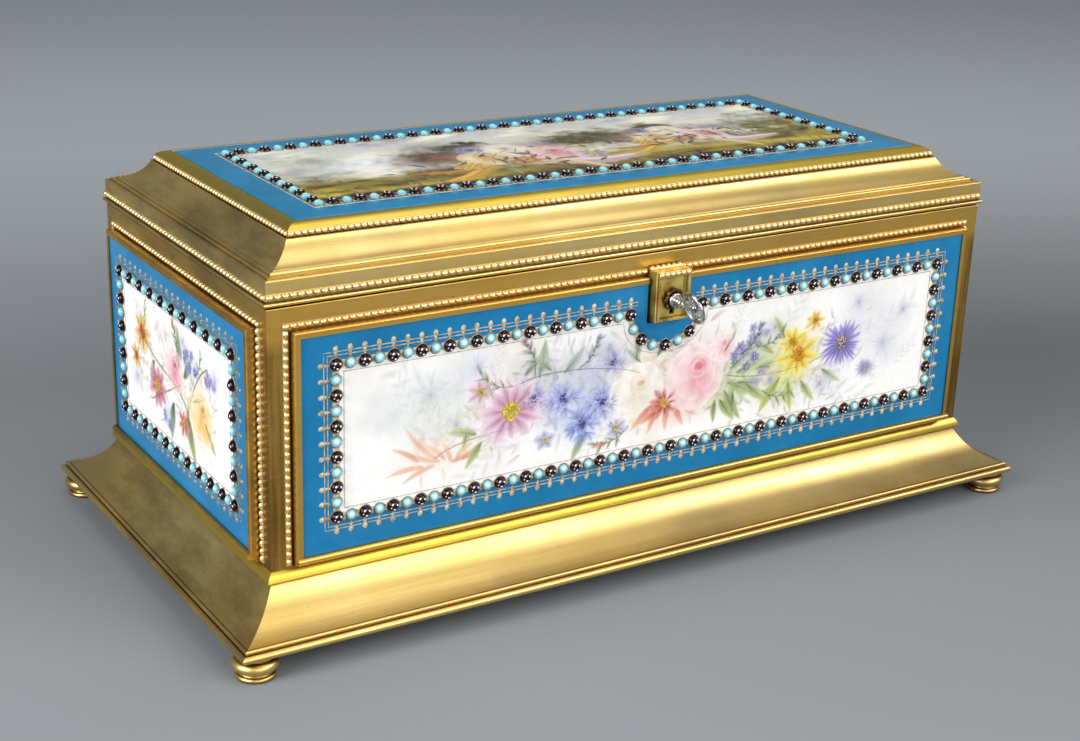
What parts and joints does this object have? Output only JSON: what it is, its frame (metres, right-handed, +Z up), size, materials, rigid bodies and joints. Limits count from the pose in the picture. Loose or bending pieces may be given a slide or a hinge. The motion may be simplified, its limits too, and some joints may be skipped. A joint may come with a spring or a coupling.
{
  "type": "jewelry box",
  "caption": "Long rectangular casket of gilt mouldings and raised porcelain plaques on bun feet, with a hinged stepped lid, a lock box and an openwork key.",
  "frame": {"origin": "middle of the outline, key included, on the plane that the feet stand on", "axes": "+X along the long side to the viewer's right, +Y to the rear (the lock is on the -Y face), +Z up"},
  "size_m": [0.3366, 0.1856, 0.1397],
  "materials": {
    "gilt": "gilded and brushed",
    "gilt_pearls": "gilded, beaded",
    "porcelain_blue": "high gloss enamel with painted reserve",
    "porcelain_lid": "high gloss, painted",
    "carcass_wood": "oiled",
    "silk": "satin weave",
    "base_wood": "stained",
    "lock_brass": "bright drawn",
    "steel": "polished by handling",
    "spring_steel": "blued",
    "hinge_brass": "gilded"
  },
  "bodies": {
    "case": {"base_moulding_front": "gilt", "base_moulding_rear": "gilt", "base_moulding_left": "gilt", "base_moulding_right": "gilt", "base_board": "base_wood", "feet": "gilt", "frame_front": "gilt", "porcelain_front": "porcelain_blue", "bezel_front": "gilt", "pearls_front": "gilt_pearls", "wall_front": "carcass_wood", "lining_front": "silk", "frame_rear": "gilt", "porcelain_rear": "porcelain_blue", "bezel_rear": "gilt", "pearls_rear": "gilt_pearls", "wall_rear": "carcass_wood", "lining_rear": "silk", "frame_left": "gilt", "porcelain_left": "porcelain_blue", "bezel_left": "gilt", "pearls_left": "gilt_pearls", "wall_left": "carcass_wood", "lining_left": "silk", "frame_right": "gilt", "porcelain_right": "porcelain_blue", "bezel_right": "gilt", "pearls_right": "gilt_pearls", "wall_right": "carcass_wood", "lining_right": "silk", "floor_pad": "silk", "lock_plate": "gilt", "lock_box": "lock_brass", "lock_back_plate": "lock_brass", "lock_spring": "spring_steel", "hinge_pins": "hinge_brass", "hinge_case_leaf_left": "hinge_brass", "hinge_case_leaf_right": "hinge_brass"},
    "lid": {"lid_moulding_front": "gilt", "lid_moulding_rear": "gilt", "lid_moulding_left": "gilt", "lid_moulding_right": "gilt", "lid_pearls_lower": "gilt_pearls", "lid_pearls_upper": "gilt_pearls", "lid_frame": "gilt", "porcelain_lid": "porcelain_lid", "lid_board": "carcass_wood", "lid_inner_frame": "carcass_wood", "lid_pad": "silk", "lock_staple": "steel", "hinge_lid_leaf_left": "hinge_brass", "hinge_lid_leaf_right": "hinge_brass"},
    "key": {"key": "steel"},
    "bolt": {"lock_bolt": "steel"}
  },
  "joints": [
    {"name": "lid_hinge", "type": "hinge", "parent": "case", "child": "lid", "pos_m": [0, 0.07783, 0.11835], "axis": [-1, 0, 0], "range_deg": [0, 100]},
    {"name": "key_turn", "type": "hinge", "parent": "case", "child": "key", "pos_m": [0, -0.06857, 0.1023], "axis": [0, 1, 0], "range_deg": [0, 60]},
    {"name": "bolt_slide", "type": "slide", "parent": "case", "child": "bolt", "axis": [1, 0, 0], "range_m": [0, 0.0045]}
  ],
  "couplings": [
    {"joint": "key_turn", "follows": "bolt_slide", "rad_per_m": 232.71}
  ]
}
